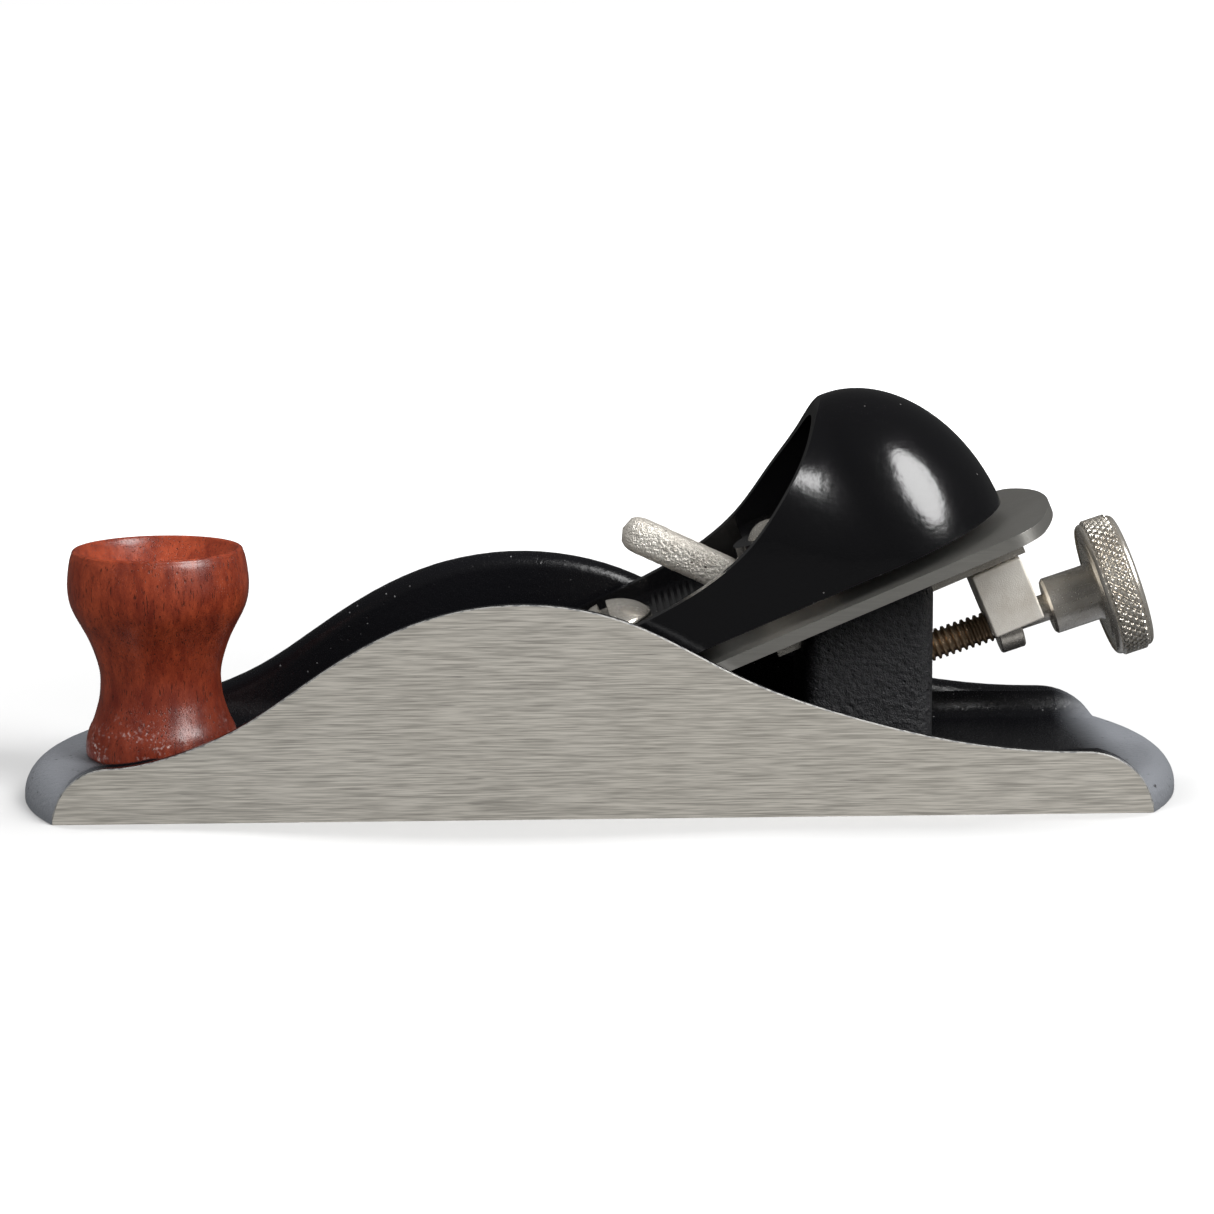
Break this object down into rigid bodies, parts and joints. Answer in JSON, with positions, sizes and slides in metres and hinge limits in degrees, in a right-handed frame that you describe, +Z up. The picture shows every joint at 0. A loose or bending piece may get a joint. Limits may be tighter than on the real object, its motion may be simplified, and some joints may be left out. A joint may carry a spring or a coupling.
{
  "type": "hand plane",
  "caption": "Low-angle block plane: cast body, turned wooden front knob, bevel-up iron, hooded lever cap with cam lever, and a knurled screw adjuster.",
  "frame": {"origin": "middle of the sole, on the surface it rests on", "axes": "+X from toe to heel, +Y across to the far cheek, +Z up"},
  "size_m": [0.1778, 0.0508, 0.0611],
  "materials": {
    "casting": "black enamel with ground sole and cheeks",
    "wood": "varnished reddish hardwood",
    "steel": "ground tool steel",
    "enamel": "gloss black enamel",
    "nickel": "satin nickel plate"
  },
  "bodies": {
    "body": {"plane_body": "casting", "front_knob": "wood", "knob_screw": "nickel"},
    "screw_block": {"adjuster_block": "nickel"},
    "spindle": {"adjuster_screw": "nickel", "adjuster_knob": "nickel"},
    "slide_bar": {"adjuster_bar": "nickel"},
    "iron": {"plane_iron": "steel"},
    "cap": {"lever_cap": "enamel", "cam_rivet": "nickel"},
    "cam": {"cam_lever": "nickel"},
    "cap_screw": {"lever_cap_screw": "nickel"}
  },
  "joints": [
    {"name": "block_slide", "type": "slide", "parent": "body", "child": "screw_block", "axis": [0.9492, 0, 0.3147], "range_m": [-0.002, 0.006]},
    {"name": "knob_turn", "type": "hinge", "parent": "screw_block", "child": "spindle", "pos_m": [0.06644, 0, 0.0259], "axis": [0.9492, 0, 0.3147], "range_deg": [-680.6, 2041.7]},
    {"name": "bar_slide", "type": "slide", "parent": "body", "child": "slide_bar", "axis": [0.9212, 0, 0.3891], "range_m": [-0.002, 0.006]},
    {"name": "iron_tilt", "type": "hinge", "parent": "slide_bar", "child": "iron", "pos_m": [0.03787, 0, 0.02926], "axis": [-0.3891, 0, 0.9212], "range_deg": [-0.7, 0.7]},
    {"name": "cap_slide", "type": "slide", "parent": "body", "child": "cap", "axis": [0.9212, 0, 0.3891], "range_m": [0, 0.009]},
    {"name": "cam_swing", "type": "hinge", "parent": "cap", "child": "cam", "pos_m": [0.02813, 0, 0.03383], "axis": [-0.3891, 0, 0.9212], "range_deg": [-35, 0]},
    {"name": "cap_screw_turn", "type": "hinge", "parent": "body", "child": "cap_screw", "pos_m": [0.00233, 0, 0.02293], "axis": [-0.3891, 0, 0.9212], "range_deg": [-90, 90]}
  ],
  "couplings": [
    {"joint": "knob_turn", "follows": "block_slide", "rad_per_m": 5938.7},
    {"joint": "bar_slide", "follows": "block_slide", "ratio": 0.99684}
  ]
}
